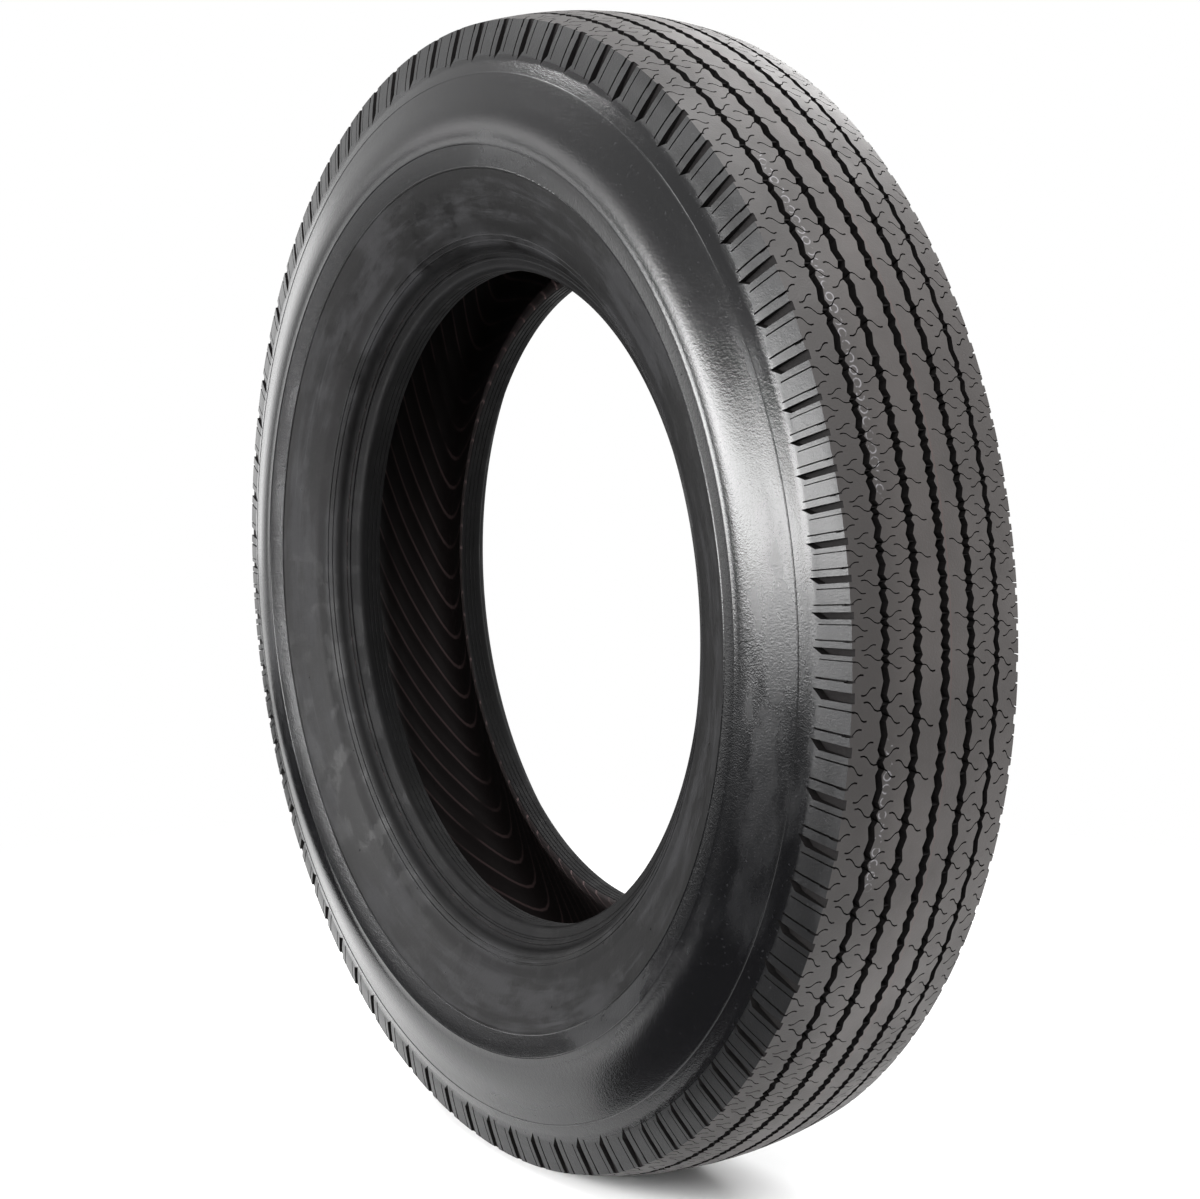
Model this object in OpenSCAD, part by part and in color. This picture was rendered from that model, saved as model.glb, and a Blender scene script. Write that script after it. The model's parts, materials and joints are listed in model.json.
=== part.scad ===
/* [Overall size] */
// Outside diameter over the crown of the tread
outer_d = 720; // [700:1:740]
// Width over the sidewalls at their widest
section_w = 156; // [148:1:166]
// Diameter of the bead seats, which is the size of the rim
bead_seat_d = 405.6; // [400:0.2:410]
// Width over the outer faces of the two beads
bead_span = 96; // [88:1:106]

/* [Bead] */
// Width of the cylindrical seat of each bead
seat_w = 12; // [8:0.5:15]
// Radius of the heel between the seat and the outer face
heel_r = 3.5; // [1:0.5:6]
// Thickness of the bead above its seat
bead_t = 15.5; // [13:0.5:20]
// Height of the bead's thick foot above the seat
bead_h = 12; // [8:0.5:16]
// How far the foot's outer face leans out over that height
bead_lean = 5; // [3:0.5:7]

/* [Sidewall] */
// How far the widest place lies above the middle of the section's height
widest_rise = 8.6; // [0:0.2:16]
// Thickness of the sidewall at its widest
sidewall_t = 7.5; // [6:0.5:10]
// Thickness of the sidewall at its lower flank, where the plies turn up round the bead
flank_t = 8.5; // [7:0.5:11]
// Thickness of the wall at the rim rib
rim_rib_t = 13; // [11:0.5:16]
// How far the lower flank bulges out past a straight line
flank_bulge = 2.5; // [0:0.5:4]
// How far the upper flank bulges out past a straight line
upper_bulge = 1; // [0:0.2:3]
// Height of the rim rib, which lies just outside the rim's edge, above the bead seat
rim_rib_h = 20; // [17:0.5:24]
// How far the rim rib lies outside the bead's outer face
rim_rib_out = 12; // [9:0.5:15]
// Height between the two fine lines of the rim rib
rim_rib_gap = 3.4; // [2:0.2:5]
// Height of the toe guard, a fine line on the bead's foot, above the bead seat
toe_guard_h = 10; // [8:0.5:12]
// How far the lower decorative ring lies inside the widest place
lower_ring_drop = 25; // [20:1:32]
// How far the upper ring lies inside the widest place
upper_ring_drop = 11; // [6:1:16]
// How far the fine top line lies inside the end of the serrations
top_line_drop = 9.8; // [7:0.2:14]
// Thickness of the lower and upper rings
ring_t = 1.6; // [1:0.2:3]
// Thickness of the fine lines
fine_line_t = 1; // [0.6:0.2:1.6]

/* [Tread] */
// Width of the tread from one sharp edge to the other
tread_w = 112; // [106:1:118]
// How much lower the tread's edge is than its crown
crown_drop = 7; // [4:0.5:10]
// Depth of the grooves
groove_depth = 7; // [4:0.5:9]
// Rubber and cord between the groove floors and the inside
under_tread_t = 9; // [7:0.5:12]
// Places of the two outer grooves of the near half, from the middle
groove_place = [-37.5, -18];
// Widths of these grooves at the surface
groove_w = [4, 4.8];
// Width of the middle groove at the surface
middle_groove_w = 5.2; // [4:0.2:6.4]
// How much narrower a groove is at its floor
groove_taper = 1.6; // [0:0.2:2.4]
// Sideways swing of the zigzag groove edges, each way from the middle
zigzag = 0.9; // [0.2:0.1:1.4]

/* [Pitches round the tread] */
// Groups of pitches that follow each other: how many, and their length in units
pitch_groups = [[8, 2], [8, 3], [8, 2], [20, 3]];
// How often the whole row of groups goes round
group_rounds = 2; // [1:1:3]
// Angle at which the first group starts
first_pitch_angle = -25.4; // [-180:0.1:180]

/* [Serrated shoulder] */
// How far the serrations reach down the shoulder from the tread's edge
serration_h = 22; // [18:0.5:26]
// How far the shoulder stands out past the tread's edge where they end
shoulder_out = 6.8; // [5:0.2:9]
// How far the shoulder bulges out past a straight line
shoulder_bulge = 0.6; // [0:0.1:1.5]
// Depth of the wide recesses
recess_depth = 4; // [1:0.5:5]
// Shares of a pitch at which its wide recess starts and ends
recess_share = [0.4, 0.6];
// Height of a recess's floor end above the end of the serrations
recess_foot = 3.5; // [1:0.5:5]
// How much the slanted floor end rises along the recess
recess_slant = 6; // [3:0.5:8]
// Shares of a pitch at which its two narrow slits lie
slit_share = [0.2, 0.745];
// Share of a pitch that a slit is wide
slit_width = 0.05; // [0.02:0.01:0.08]
// Depth of a slit at the tread's edge
slit_depth = 2; // [1:0.5:3]
// The far half of the tread is the near half turned end for end about this share
turn_share = 0.768; // [0:0.001:1]

/* [Hidden] */

crown_r = outer_d / 2;
seat_r = bead_seat_d / 2;
widest_r = (seat_r + crown_r) / 2 + widest_rise;
edge_w = tread_w / 2;
// The crown is an arc that passes through both tread edges
crown_arc_r = (edge_w * edge_w + crown_drop * crown_drop) / (2 * crown_drop);
inner_crown_r = crown_r - groove_depth - under_tread_t;
// The tread band reaches this far into the carcass, so that the two are one solid
band_sink = 2;
curve_steps = 6;
// Where the two flanks' bulges are given: shares of the way out from the rim rib
// to the widest place, and from there to the serrations
flank_place = 0.6;
upper_place = 0.66;

// Radius of the tread's surface at a place across the tread
function tread_r(w) = crown_r - crown_arc_r + sqrt(crown_arc_r * crown_arc_r - w * w);

// Where the serrations end and the smooth sidewall starts
serration_r = tread_r(edge_w) - serration_h;
serration_w = edge_w + shoulder_out;

// A smooth curve through points, with the slope at each taken from its neighbours
function slope(p, i) = (p[min(i + 1, len(p) - 1)] - p[max(i - 1, 0)]) / 2;
function curve_point(a, b, sa, sb, t) =
    a * (2 * t * t * t - 3 * t * t + 1) + sa * (t * t * t - 2 * t * t + t)
    + b * (3 * t * t - 2 * t * t * t) + sb * (t * t * t - t * t);
function curve_through(p) = concat(
    [for (i = [0:len(p) - 2], k = [0:curve_steps - 1])
        curve_point(p[i], p[i + 1], slope(p, i), slope(p, i + 1), k / curve_steps)],
    [p[len(p) - 1]]);

// One half of the carcass section, as [radius, distance from the middle plane]
bead_out = bead_span / 2;
bead_in = bead_out - heel_r - seat_w;
foot_top = [seat_r + bead_h, bead_out + bead_lean];
rim_rib = [seat_r + rim_rib_h, bead_out + rim_rib_out];
widest = [widest_r, section_w / 2];
flank = widest * flank_place + rim_rib * (1 - flank_place) + [0, flank_bulge];
sidewall_top = [serration_r - band_sink, serration_w + shoulder_bulge];
outer_side = curve_through([
    sidewall_top,
    sidewall_top * upper_place + widest * (1 - upper_place) + [0, upper_bulge],
    widest,
    flank,
    rim_rib,
    foot_top,
    [seat_r + heel_r, bead_out]]);
heel = [for (a = [15:15:90])
    [seat_r + heel_r - heel_r * sin(a), bead_out - heel_r + heel_r * cos(a)]];
inner_side = curve_through([
    [seat_r, bead_in],
    foot_top - [0, bead_t],
    rim_rib - [0, rim_rib_t],
    flank - [0, flank_t],
    widest - [0, sidewall_t],
    sidewall_top - [2 * sidewall_t, sidewall_t],
    [inner_crown_r - band_sink, edge_w - 2 * sidewall_t],
    [inner_crown_r, 0]]);
// Under the tread band the carcass keeps a little below the groove floors and the recesses
band_seat = concat(
    [for (w = [0:edge_w / 6:edge_w - band_sink])
        [tread_r(w) - groove_depth - band_sink / 2, w]],
    [[serration_r + band_sink, serration_w - recess_depth - band_sink]]);

// How far out the sidewall stands at a radius
function outer_w(r) = max([for (i = [1:len(outer_side) - 1])
    let (a = outer_side[i - 1], b = outer_side[i])
    a[0] >= r && b[0] <= r ? a[1] + (b[1] - a[1]) * (a[0] - r) / (a[0] - b[0]) : 0]);

module carcass() {
    half = concat(band_seat, outer_side, heel, inner_side);
    mirrored = [for (i = [len(half) - 2:-1:1]) [half[i][0], -half[i][1]]];
    rotate_extrude($fn = 180) polygon(concat(half, mirrored));
}

// A raised ring on each sidewall, half sunk in its surface
module raised_ring(r, thickness) {
    for (side = [-1, 1])
        rotate_extrude($fn = 180)
            translate([r, side * outer_w(r)]) circle(d = thickness, $fn = 24);
}

// The pitches: a running sum of their lengths in units turns into start angles
pitch_units = [for (turn = [1:group_rounds], g = pitch_groups, i = [1:g[0]]) g[1]];
function total(list) = list * [for (x = list) 1];
unit_angle = 360 / total(pitch_units);
pitches = len(pitch_units);
pitch_start = [for (i = 0, sum = 0; i < pitches; sum = sum + pitch_units[i], i = i + 1)
    first_pitch_angle + sum * unit_angle];

// The band's surface is spanned by lines that run round the tyre. A line is the list
// of its knots in one pitch, each [share of the pitch, place across, radius].
mid_share = turn_share / 2;
function flat_line(w, r) = [[mid_share, w, r]];
function tread_knot(share, w) = [share, w, tread_r(w)];
function zigzag_line(w) = [
    tread_knot(mid_share - 1 / 4, w + zigzag),
    tread_knot(mid_share + 1 / 4, w - zigzag)];
function groove_lines(w, width) =
    let (floor_w = width - groove_taper, floor_r = tread_r(w) - groove_depth)
    [zigzag_line(w - width / 2),
        flat_line(w - floor_w / 2, floor_r),
        flat_line(w + floor_w / 2, floor_r),
        zigzag_line(w + width / 2)];

// The tread's edge steps in at the recess and dips in at the slits
function slit_knots(share) = [
    tread_knot(share - slit_width / 2, -edge_w),
    tread_knot(share, -edge_w + slit_depth),
    tread_knot(share + slit_width / 2, -edge_w)];
edge_step = recess_depth / 2;
edge_line = concat(
    slit_knots(slit_share[0]),
    [tread_knot(recess_share[0], -edge_w),
        tread_knot(recess_share[0], -edge_w + edge_step),
        tread_knot(recess_share[1], -edge_w + edge_step),
        tread_knot(recess_share[1], -edge_w)],
    slit_knots(slit_share[1]));

// Lower down, the slits run out and the recess has its floor, whose end slants
shoulder_slope = [shoulder_out / serration_h, 1];
shoulder = [-serration_w - shoulder_bulge, serration_r] + shoulder_slope * recess_foot;
recess_floor = shoulder + [recess_depth, 0];
function shoulder_knot(share, place) = [share, place[0], place[1]];
shoulder_line = [
    shoulder_knot(slit_share[0], shoulder),
    shoulder_knot(recess_share[0], shoulder),
    shoulder_knot(recess_share[0], recess_floor),
    shoulder_knot(recess_share[1], recess_floor + shoulder_slope * recess_slant),
    shoulder_knot(recess_share[1], shoulder),
    shoulder_knot(slit_share[1], shoulder)];

// The band's ends lie a little proud of the sidewall, and its underside lies in the carcass
band_proud = 0.2;
serration_end_line = flat_line(
    -sidewall_top[1] - band_proud, sidewall_top[0] + band_sink / 2);
foot_line = flat_line(-sidewall_top[1] + band_sink / 2, sidewall_top[0] - band_sink);
under_lines = [
    flat_line(-edge_w + 6 * band_sink, inner_crown_r + band_sink),
    flat_line(-edge_w + band_sink, serration_r - band_sink / 2)];

// The same line turned end for end, as it lies on the other half of the tread
function turned(line) =
    let (from = [for (k = [len(line) - 1:-1:0])
        [turn_share - line[k][0], -line[k][1], line[k][2]]])
    concat([for (knot = from) if (knot[0] >= 0) knot],
        [for (knot = from) if (knot[0] < 0) knot + [1, 0, 0]]);

near_half = concat(
    under_lines,
    [foot_line, serration_end_line, shoulder_line, edge_line],
    groove_lines(groove_place[0], groove_w[0]),
    groove_lines(groove_place[1], groove_w[1]));
band_lines = concat(
    near_half,
    groove_lines(0, middle_groove_w),
    [for (n = [len(near_half) - 1:-1:0]) turned(near_half[n])]);

function knot_point(knot, i) =
    let (a = pitch_start[i] + knot[0] * pitch_units[i] * unit_angle)
    [knot[2] * cos(a), knot[2] * sin(a), knot[1]];

// First point number of each line, when every line is stored pitch by pitch
line_base = [for (n = 0, sum = 0; n <= len(band_lines);
    sum = sum + (n < len(band_lines) ? len(band_lines[n]) * pitches : 0), n = n + 1) sum];
function point_number(n, i, k) =
    line_base[n] + (i * len(band_lines[n]) + k) % (len(band_lines[n]) * pitches);

// Middles of a line's steps, which decide the order of the triangles between two lines
function step_middles(line) = [for (k = [0:len(line) - 1])
    (line[k][0] + (k + 1 < len(line) ? line[k + 1][0] : 1 + line[0][0])) / 2];
function count_below(list, x, with_equal) =
    total([for (v = list) v < x || (with_equal && v == x) ? 1 : 0]);

// Triangles between line a and line b, for one pitch after another
function strip(a, b) =
    let (ma = step_middles(band_lines[a]), mb = step_middles(band_lines[b]))
    [for (i = [0:pitches - 1]) each concat(
        [for (k = [0:len(ma) - 1]) [
            point_number(a, i, k),
            point_number(b, i, count_below(mb, ma[k], false)),
            point_number(a, i, k + 1)]],
        [for (k = [0:len(mb) - 1]) [
            point_number(b, i, k),
            point_number(b, i, k + 1),
            point_number(a, i, count_below(ma, mb[k], true))]])];

module tread_band() {
    last = len(band_lines) - 1;
    polyhedron(
        points = [for (line = band_lines, i = [0:pitches - 1], knot = line) knot_point(knot, i)],
        faces = [for (n = [0:last]) each strip(n, n == last ? 0 : n + 1)],
        convexity = 10);
}

// The tyre stands upright: its axle lies along Y
module tyre() {
    color([0.09, 0.09, 0.1])
        rotate([-90, 0, 0]) {
            carcass();
            for (gap = [-rim_rib_gap / 2, rim_rib_gap / 2])
                raised_ring(rim_rib[0] + gap, fine_line_t);
            raised_ring(seat_r + toe_guard_h, fine_line_t);
            raised_ring(widest_r - lower_ring_drop, ring_t);
            raised_ring(widest_r - upper_ring_drop, ring_t);
            raised_ring(serration_r - top_line_drop, fine_line_t);
            tread_band();
        }
}

tyre();
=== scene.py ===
import json
import math

import bmesh
import bpy
from mathutils import Matrix, Vector


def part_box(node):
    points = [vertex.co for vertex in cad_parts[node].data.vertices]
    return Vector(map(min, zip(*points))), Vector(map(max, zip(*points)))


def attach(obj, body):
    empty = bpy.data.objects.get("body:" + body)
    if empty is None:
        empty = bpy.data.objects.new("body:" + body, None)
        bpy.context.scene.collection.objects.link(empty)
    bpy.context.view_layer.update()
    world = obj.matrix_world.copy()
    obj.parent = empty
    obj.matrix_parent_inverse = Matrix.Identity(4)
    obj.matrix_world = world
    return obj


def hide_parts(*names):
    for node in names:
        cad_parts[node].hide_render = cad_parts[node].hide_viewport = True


bl_info = {
    "name": "Car Tyre",
    "version": (1, 0, 0),
    "blender": (4, 5, 0),
    "location": "3D View > Sidebar > Tyre",
    "description": "Builds a ribbed car tyre round its packed frame, with its rubber and a studio",
    "category": "Add Mesh",
}

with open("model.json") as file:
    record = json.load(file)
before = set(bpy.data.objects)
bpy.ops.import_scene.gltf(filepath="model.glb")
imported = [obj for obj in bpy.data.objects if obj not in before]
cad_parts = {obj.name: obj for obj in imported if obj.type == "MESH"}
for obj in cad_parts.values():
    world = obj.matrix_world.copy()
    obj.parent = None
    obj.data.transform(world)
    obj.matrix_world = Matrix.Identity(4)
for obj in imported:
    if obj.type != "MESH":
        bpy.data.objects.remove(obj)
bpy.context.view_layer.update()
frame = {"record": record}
TYRE_LOW, TYRE_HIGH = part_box("tyre")
BEAD_SEATS = frame["record"]["mounts"][0]["dims"]

MM = 0.001


class TyreSizes(bpy.types.PropertyGroup):
    """The sizes of the tyre's section and tread."""
    crown_r: bpy.props.FloatProperty(
        name="Crown radius", description="Radius of the tread in the middle plane",
        default=TYRE_HIGH.z, unit="LENGTH", subtype="DISTANCE")
    half_width: bpy.props.FloatProperty(
        name="Half width", description="From the middle plane to the widest place of a sidewall",
        default=0.0779, unit="LENGTH", subtype="DISTANCE")
    seat_r: bpy.props.FloatProperty(
        name="Bead seat radius", description="Radius of the cylindrical bead seats",
        default=BEAD_SEATS["r_mm"] * MM, unit="LENGTH", subtype="DISTANCE")
    tread_half: bpy.props.FloatProperty(
        name="Half tread width", description="From the middle plane to the tread's sharp edge",
        default=0.056, unit="LENGTH", subtype="DISTANCE")
    crown_drop: bpy.props.FloatProperty(
        name="Crown drop", description="How much lower the tread's edge is than its crown",
        default=0.007, unit="LENGTH", subtype="DISTANCE")
    groove_depth: bpy.props.FloatProperty(
        name="Groove depth", description="Depth of the five grooves",
        default=0.007, unit="LENGTH", subtype="DISTANCE")
    groove_taper: bpy.props.FloatProperty(
        name="Groove taper", description="How much narrower a groove is at its floor",
        default=0.0016, unit="LENGTH", subtype="DISTANCE")
    zigzag: bpy.props.FloatProperty(
        name="Zigzag", description="Sideways swing of the grooves, each way",
        default=0.0008, unit="LENGTH", subtype="DISTANCE")
    sipe_depth: bpy.props.FloatProperty(
        name="Sipe depth", description="Depth of the fine cuts in the ribs",
        default=0.005, unit="LENGTH", subtype="DISTANCE")
    sipe_width: bpy.props.FloatProperty(
        name="Sipe width", description="Width of the fine cuts in the ribs",
        default=0.00095, unit="LENGTH", subtype="DISTANCE")
    serration_h: bpy.props.FloatProperty(
        name="Serration height", description="How far the serrations reach down the shoulder",
        default=0.022, unit="LENGTH", subtype="DISTANCE")
    shoulder_out: bpy.props.FloatProperty(
        name="Shoulder overhang", description="How far the shoulder stands out past the tread",
        default=0.0068, unit="LENGTH", subtype="DISTANCE")
    recess_depth: bpy.props.FloatProperty(
        name="Recess depth", description="Depth of the wide recesses of the shoulder",
        default=0.0036, unit="LENGTH", subtype="DISTANCE")
    slit_depth: bpy.props.FloatProperty(
        name="Slit depth", description="Depth of the narrow slits of the shoulder",
        default=0.0024, unit="LENGTH", subtype="DISTANCE")


class TyreLooks(bpy.types.PropertyGroup):
    """The colours and gloss of the rubber."""
    tread_colour: bpy.props.FloatVectorProperty(
        name="Tread colour", description="Matt warm grey of the tread's ribs",
        subtype="COLOR", default=(0.047, 0.041, 0.039))
    groove_colour: bpy.props.FloatVectorProperty(
        name="Groove colour", description="Darker rubber down in the grooves",
        subtype="COLOR", default=(0.0055, 0.005, 0.005))
    side_colour: bpy.props.FloatVectorProperty(
        name="Sidewall colour", description="Near-black satin of the sidewalls",
        subtype="COLOR", default=(0.0025, 0.0025, 0.0028))
    lower_colour: bpy.props.FloatVectorProperty(
        name="Lower sidewall colour", description="Duller rubber inside the lower ring",
        subtype="COLOR", default=(0.0022, 0.0021, 0.0022))
    scuff_colour: bpy.props.FloatVectorProperty(
        name="Scuff colour", description="Grey of rubbed and dusty places",
        subtype="COLOR", default=(0.056, 0.056, 0.060))
    liner_colour: bpy.props.FloatVectorProperty(
        name="Liner colour", description="Brown-black of the lining",
        subtype="COLOR", default=(0.006, 0.004, 0.004))
    chalk_colour: bpy.props.FloatVectorProperty(
        name="Chalk colour", description="Faint pale ovals on a near rib",
        subtype="COLOR", default=(0.30, 0.29, 0.31))


class StudioSettings(bpy.types.PropertyGroup):
    """The camera, the floor and the lamps."""
    azimuth: bpy.props.FloatProperty(
        name="Azimuth", description="Side from which the camera looks, from -Y towards +X",
        default=math.radians(56.43), subtype="ANGLE", unit="ROTATION")
    elevation: bpy.props.FloatProperty(
        name="Elevation", description="Height angle of the camera",
        default=math.radians(7.29), subtype="ANGLE", unit="ROTATION")
    distance: bpy.props.FloatProperty(
        name="Distance", description="From the aim point to the camera",
        default=1.7565, unit="LENGTH", subtype="DISTANCE")
    aim_right: bpy.props.FloatProperty(
        name="Aim right", description="Aim point's offset from the axle to the camera's right",
        default=0.0426, unit="LENGTH", subtype="DISTANCE")
    aim_up: bpy.props.FloatProperty(
        name="Aim up", description="Aim point's offset from the axle to the camera's top",
        default=0.0108, unit="LENGTH", subtype="DISTANCE")
    lens: bpy.props.FloatProperty(
        name="Lens", description="Focal length on a 36 mm sensor",
        default=83.80, unit="CAMERA")
    shift: bpy.props.FloatVectorProperty(
        name="Shift", description="Shift of the frame across and up",
        size=2, default=(-0.03832, -0.01885))
    floor_colour: bpy.props.FloatVectorProperty(
        name="Floor colour", description="Pale floor and background",
        subtype="COLOR", default=(0.9, 0.9, 0.9))
    sky: bpy.props.FloatProperty(
        name="Sky", description="Strength of the even light from all round",
        default=0.35, min=0.0)


# The pitches round the tread: how many follow each other, and their length in units
PITCH_GROUPS = ((8, 2), (8, 3), (8, 2), (20, 3))
GROUP_ROUNDS = 2
FIRST_PITCH_ANGLE = math.radians(25.4)
LONG_PITCH = 29.2 * MM

# The far half of the tread is the near half turned end for end about this share of a pitch
TURN_SHARE = 0.768

# Grooves of the near half and the middle one: place across, width, and the shares of a
# pitch at which they swing to the near side and to the far side
GROOVES = (
    (-37.5 * MM, 4.0 * MM, (0.47, 0.71, 0.95), (0.21, 0.59, 0.83)),
    (-18.0 * MM, 4.8 * MM, (0.07, 0.45, 0.83), (0.21, 0.69, 0.94)),
    (0.0, 5.2 * MM, (0.08, 0.47, 0.82), (0.27, 0.63, 0.95)),
)
TIE_BAR_SHARE = 0.646

# Fine cuts of the near half: place across and distance past the tie bars at both ends
SIPES = (
    (-39.6, 2.8, -49.5, -0.9), (-47.3, 8.2, -55.5, 4.4), (-58.5, 16.5, -49.8, 13.5),
    (-42.8, 19.9, -51.0, 22.8), (-36.6, 28.0, -27.3, 24.8), (-36.9, 6.0, -28.0, 9.3),
    (-19.5, 5.7, -28.8, 2.3), (-19.3, 13.0, -29.0, 16.3), (-15.8, 9.3, -6.8, 12.5),
)

# The S of a fine cut: share of its way across, and share of its way along the pitch
SIPE_CURVE = ((0.0, 0.0), (0.2, -0.06), (0.37, 0.12), (0.5, 0.5), (0.63, 0.88), (0.8, 1.06), (1.0, 1.0))
SIPE_REACH = 1.25

# The recess of the near shoulder: the share of a pitch at which each side of it lies, and how
# far above the end of the serrations that side ends
RECESS_SIDES = ((0.40, -2.2 * MM), (0.60, 4.1 * MM))
RECESS_RAMP = 2.2 * MM

# The slits of the near shoulder: share of a pitch, share of the shoulder's length, half width
SLITS = ((0.745, 0.88, 0.45 * MM), (0.195, 1.0, 0.6 * MM))

# Heights on the sidewall: its widest place and the rings' zero above the middle of the
# section, and the rim rib above the bead seat
WIDEST_UP = 6.6 * MM
RINGS_UP = 8.6 * MM
RIB_UP = 20 * MM

# Lines on the sidewall in mm: distance up from the rings' zero, the rim rib or the bead seat,
# width, and height, which is negative for a sunk line
RING_LINES = ((-11.0, 1.3, 0.27), (-25.0, 1.6, 0.45))
RIB_LINES = ((1.7, 1.3, 0.5), (-1.7, 1.3, 0.5))
TOE_LINES = ((10.6, 1.0, 0.5), (7.6, 2.2, -0.7))

# Fine ribs on a bead seat: how many, the first one's way in from the heel, and their spacing
SEAT_RIBS = 3
FIRST_SEAT_RIB = 2.6
SEAT_RIB_STEP = 3.0

SPIN_STEPS = 264
SHARP_ANGLE = math.radians(32)


# Curves and the section

def tread_r(w):
    """Radius of the tread's surface at a place across it."""
    s = bpy.context.scene.tyre_sizes
    arc = (s.tread_half ** 2 + s.crown_drop ** 2) / (2 * s.crown_drop)
    return s.crown_r - arc + math.sqrt(arc * arc - w * w)


def curve_through(points, steps):
    """A smooth curve through (w, r) points, with slopes taken from the neighbours."""
    points = [Vector(p) for p in points]
    last = len(points) - 1
    slopes = [(points[min(i + 1, last)] - points[max(i - 1, 0)]) / 2 for i in range(last + 1)]
    out = []
    for i in range(last):
        a, b, sa, sb = points[i], points[i + 1], slopes[i], slopes[i + 1]
        for k in range(steps):
            t = k / steps
            out.append(a * (2 * t ** 3 - 3 * t * t + 1) + sa * (t ** 3 - 2 * t * t + t)
                       + b * (3 * t * t - 2 * t ** 3) + sb * (t ** 3 - t * t))
    return out + [points[last]]


def shoulder_end():
    """Where the serrations end and the smooth sidewall starts."""
    s = bpy.context.scene.tyre_sizes
    return Vector((s.tread_half + s.shoulder_out, tread_r(s.tread_half) - s.serration_h))


def section_middle():
    """Radius of the middle of the section, between the crown and the bead seat."""
    s = bpy.context.scene.tyre_sizes
    return (s.crown_r + s.seat_r) / 2


def outer_side():
    """The sidewall's outer curve, from the serrations in to the heel of the bead."""
    s = bpy.context.scene.tyre_sizes
    top = shoulder_end() + Vector((0.6, -2.0)) * MM
    widest = Vector((s.half_width, section_middle() + WIDEST_UP))
    rib = Vector((0.060, s.seat_r + RIB_UP))
    return curve_through((
        top,
        top * 0.66 + widest * 0.34 + Vector((1, 0)) * MM,
        widest,
        widest * 0.6 + rib * 0.4 + Vector((3.0, 0)) * MM,
        rib,
        Vector((0.053, s.seat_r + 0.012)),
        Vector((0.048, s.seat_r + 0.0035))), 6)


def point_at(curve, r):
    """The curve's point at a radius, and its direction there."""
    for a, b in zip(curve, curve[1:]):
        if a.y >= r >= b.y and a.y > b.y:
            return a.lerp(b, (a.y - r) / (a.y - b.y)), (b - a).normalized()
    raise RuntimeError("The sidewall doesn't reach the radius %.4f" % r)


def with_ridge(curve, r, width, height):
    """The curve with a raised line at a radius, or a sunk one if the height is negative."""
    middle, along = point_at(curve, r)
    out = Vector((-along.y, along.x))
    ridge = [middle + along * width * k + out * height * h
             for k, h in ((-0.5, 0.0), (-0.22, 0.9), (0.22, 0.9), (0.5, 0.0))]
    before = [p for p in curve if p.y > ridge[0].y + 0.2 * MM]
    after = [p for p in curve if p.y < ridge[3].y - 0.2 * MM]
    return before + ridge + after


# The fine raised line at which the tread band ends on the sidewall: how far it is below
# the serrations, and its shape along the sidewall and out of it in mm
TOP_LINE_BELOW = 0.0098
FINE_LINE = ((-0.6, 0.0), (-0.25, 0.27), (0.15, 0.3), (0.5, 0.05), (0.7, -0.5))


def shoulder_line():
    """The outer curve from the tread's edge over the serrations and down the sidewall."""
    s = bpy.context.scene.tyre_sizes
    edge, end = Vector((s.tread_half, tread_r(s.tread_half))), shoulder_end()
    bulge = Vector((0.4, 0.1)) * MM
    return [edge, edge.lerp(end, 0.5) + bulge, edge.lerp(end, 0.8) + bulge] + outer_side()


def band_outline():
    """The tread band's section with no grooves, as (w, r), from the near side to the far."""
    s = bpy.context.scene.tyre_sizes
    end = shoulder_end()
    line_r = end.y - TOP_LINE_BELOW
    crown = [Vector((w * MM, tread_r(w * MM))) for w in (0, 6, 13, 20, 27, 34, 41, 48.5, 52.5)]
    flank = [p for p in shoulder_line() if p.y > line_r + 1.5 * MM]
    middle, along = point_at(outer_side(), line_r)
    out = Vector((-along.y, along.x))
    lip = [middle + along * a * MM + out * h * MM for a, h in FINE_LINE]
    under_w = s.tread_half - 0.012
    floor_r = s.crown_r - s.groove_depth
    under = [middle + Vector((-3.4, 0.6)) * MM, middle + Vector((-10.4, 5.3)) * MM,
             Vector((under_w + 0.006, end.y + 0.002)), Vector((under_w, floor_r - 0.007)),
             Vector((0, floor_r - 0.006))]
    half = crown + flank + lip + under
    return [Vector((-p.x, p.y)) for p in reversed(half)] + half[1:-1]


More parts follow.
